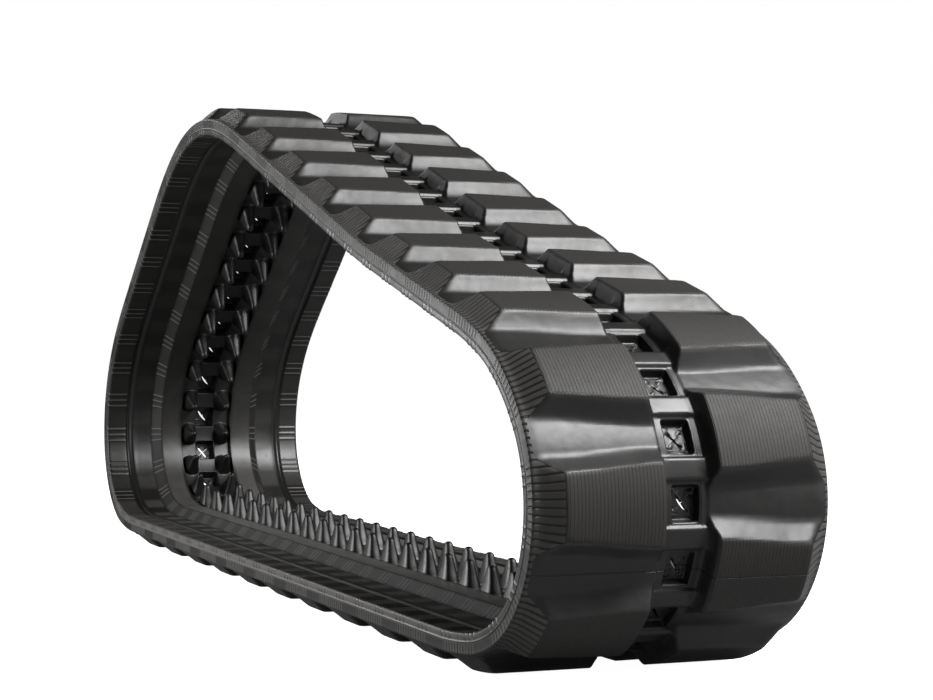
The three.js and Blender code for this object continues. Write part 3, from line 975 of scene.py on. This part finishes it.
LENGTHS = {
    "rear": (21.5, 50.5, ("bottom_run", "rear_run")),
    "top": (50.5, 66.5, ("rear_run", "top_run")),
    "front": (66.5, 81.5, ("top_run", "front_bend")),
}
for side, belt in (("left", left), ("right", right)):
    for name, (start, end, pair) in LENGTHS.items():
        piece = length_of_belt(f"{side}_rubber_{name}", belt, start, end, **cuts_at_pivot(start, end))
        flex(piece, *pair)
        kinds = [f"{side}_tread", f"{side}_roller_path"]
        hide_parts(*[f"{body}_{kind}" for body in pair for kind in kinds])

CENTRE_LENGTHS = {
    "bottom": (21.5, 43, ("bottom_run",)),
    "rear": (43, 51, ("bottom_run", "rear_run")),
    "top": (51, 66, ("rear_run", "top_run")),
    "front": (66, 81.5, ("top_run", "front_bend")),
}
for name, (start, end, pair) in CENTRE_LENGTHS.items():
    piece = length_of_belt(f"centre_rubber_{name}", middle, start, end, **cuts_at_pivot(start, end))
    if len(pair) == 1:
        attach(piece, pair[0])
    else:
        flex(piece, *pair)
    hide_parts(*[f"{body}_guide_spine" for body in pair])

# %% [markdown]
# ## Steel, cords and plies
#
# These lie inside the rubber and come straight from the frame, where their shapes are already
# right. Forged bars have a dull scale, the cords lie side by side in a band with a brass tint,
# and the plies show their weave.


# %% Finishes of the parts inside
WIRE_HALF = 1.2


def forged_steel():
    made, shader, start = new_material("core_steel")
    scale, pits = speckle(start, 0.03, 5.0), speckle(start, 0.003, 3.0)
    colour = mix_colour(start, scale, (0.16, 0.16, 0.17), (0.33, 0.32, 0.31))
    finish(shader, Base_Color=colour, Roughness=0.42 + 0.25 * pits, Normal=bumps(start, pits * 0.25))
    shader.inputs["Metallic"].default_value = 0.85
    return made


def cord_steel():
    made, shader, start = new_material("cord_steel")
    y = start.node("ShaderNodeSeparateXYZ", {}, {0: object_place(start)}, 1)
    wires = (y * 1000).to_and_fro(WIRE_HALF)
    colour = mix_colour(start, wires / WIRE_HALF, (0.10, 0.07, 0.03), (0.55, 0.45, 0.24))
    rough = 0.35 + 0.2 * speckle(start, 0.02)
    finish(shader, Base_Color=colour, Roughness=rough, Normal=bumps(start, wires * 0.4))
    shader.inputs["Metallic"].default_value = 0.9
    return made


def ply_fabric():
    made, shader, start = new_material("ply_fabric")
    inputs = {"Vector": object_place(start), "Scale": 260.0}
    weave = start.node("ShaderNodeTexWave", {"bands_direction": "DIAGONAL"}, inputs, "Fac")
    colour = mix_colour(start, weave, (0.02, 0.02, 0.019), (0.08, 0.078, 0.07))
    finish(shader, Base_Color=colour, Roughness=0.75 + 0.2 * weave, Normal=bumps(start, weave * 0.2))
    return made


steel, cords, ply = forged_steel(), cord_steel(), ply_fabric()
inside = {"core_bar": steel, "bars_and_cords": steel, "cord_band": cords, "ply": ply}
dressed = 0
for name, node in frame["nodes"].items():
    for key, material in inside.items():
        if key in name:
            node.data.materials.clear()
            node.data.materials.append(material)
            dressed += 1
print("parts inside given a finish:", dressed)

# %% [markdown]
# ## Floor
#
# A black belt is best seen on white paper. The paper has to look white without throwing white
# light up at the rubber, so it glows for the camera only and is dark for everything else.


# %% Floor
FLOOR_RADIUS, FLOOR_SIDES, FLOOR_DROP = 14, 96, 0.0005


def studio_paper():
    made, shader, start = new_material("studio_paper")
    paper = speckle(start, 0.5, 2.0)
    seen = start.node("ShaderNodeLightPath", {}, {}, "Is Camera Ray")
    colour = mix_colour(start, paper, (0.84, 0.84, 0.84), (0.88, 0.88, 0.88))
    colour = mix_colour(start, seen, (0.22, 0.22, 0.22), colour)
    glow = mix_colour(start, seen, (0.04, 0.04, 0.04), (0.985, 0.985, 0.985))
    rough = 0.85 + 0.1 * paper
    finish(shader, Base_Color=colour, Roughness=rough, Emission_Color=glow)
    shader.inputs["Emission Strength"].default_value = 1.0
    return made


def studio_floor():
    spin = np.linspace(0, 2 * math.pi, FLOOR_SIDES, endpoint=False)
    points = [(FLOOR_RADIUS * math.cos(t), FLOOR_RADIUS * math.sin(t), -FLOOR_DROP) for t in spin]
    mesh = bpy.data.meshes.new("studio_floor")
    mesh.from_pydata(points, [], [tuple(range(FLOOR_SIDES))])
    mesh.materials.append(studio_paper())
    floor = bpy.data.objects.new("studio_floor", mesh)
    bpy.context.scene.collection.objects.link(floor)
    return floor


print("stage:", studio_floor().name)

# %% [markdown]
# ## Lights
#
# A black object shows only what it reflects. One large softbox ahead of the belt and above it
# is mirrored by every block flank that faces forward, while the block tops look at the dim air
# of the studio. A strip on the left draws the side wall, a low one shines through the loop on
# the roller paths, and weak boxes ahead and behind round off the bends.


# %% Lights
LIGHTS = {
    "flank_softbox": ((2.3, 1.4, 3.0), (0.2, 0.0, 0.5), (1.9, 1.3), 235),
    "side_strip": ((-2.6, -2.2, 1.3), (0.0, 0.0, 0.4), (0.7, 1.8), 18),
    "front_softbox": ((3.4, 2.6, 1.2), (0.8, 0.0, 0.4), (0.9, 1.6), 19),
    "rear_softbox": ((-3.4, -0.7, 2.1), (0.1, -0.2, 0.5), (1.3, 0.8), 12),
    "low_strip": ((-0.5, -1.6, 0.5), (0.0, 0.0, 0.05), (1.4, 0.3), 22),
}


def softbox(name, position, target, size, power):
    light = bpy.data.lights.new(name, "AREA")
    light.shape = "RECTANGLE"
    light.size, light.size_y = size
    light.energy = power
    lamp = bpy.data.objects.new(name, light)
    lamp.location = position
    lamp.rotation_euler = (Vector(target) - Vector(position)).to_track_quat("-Z", "Y").to_euler()
    bpy.context.scene.collection.objects.link(lamp)


def studio_air():
    """White where the camera sees it, and dim for everything else."""
    world = bpy.data.worlds.new("studio_air")
    world.use_nodes = True
    air = world.node_tree.nodes["Background"]
    seen = Value(world.node_tree, None).node("ShaderNodeLightPath", {}, {}, "Is Camera Ray")
    world.node_tree.links.new((0.022 + 0.978 * seen).socket, air.inputs["Strength"])
    air.inputs["Color"].default_value = (1.0, 1.0, 1.0, 1)
    return world


for name, (position, target, size, power) in LIGHTS.items():
    softbox(name, position, target, size, power)
bpy.context.scene.world = studio_air()
bpy.context.scene.view_settings.view_transform = "Standard"
print("lights:", ", ".join(LIGHTS))

# %% [markdown]
# ## Camera
#
# A long lens, low and a little to the left of the front bend, looks back along the belt, so
# that the tread, the inside and the side wall are seen at once.

# %% Camera
AZIMUTH, ELEVATION, ROLL = 66.36, 0.885, 0.75
CAMERA_PLACE, LENS = (3.5735, -1.3891, 0.4983), 81.35
camera_data = bpy.data.cameras.new("camera")
camera_data.sensor_width = 36.0
camera_data.lens = LENS
camera_data.clip_start = 0.05
camera = bpy.data.objects.new("camera", camera_data)
bpy.context.scene.collection.objects.link(camera)
a, e, r = (math.radians(value) for value in (AZIMUTH, ELEVATION, ROLL))
back = Vector((math.sin(a) * math.cos(e), -math.cos(a) * math.cos(e), math.sin(e)))
level = back.cross(Vector((0, 0, 1))).normalized() * -1
up = back.cross(level)
across = level * math.cos(r) + up * math.sin(r)
turn = Matrix((across, back.cross(across), back)).transposed()
camera.matrix_world = Matrix.Translation(CAMERA_PLACE) @ turn.to_4x4()
bpy.context.scene.camera = camera
print("camera looks along", [round(v, 3) for v in -back])

# %% [markdown]
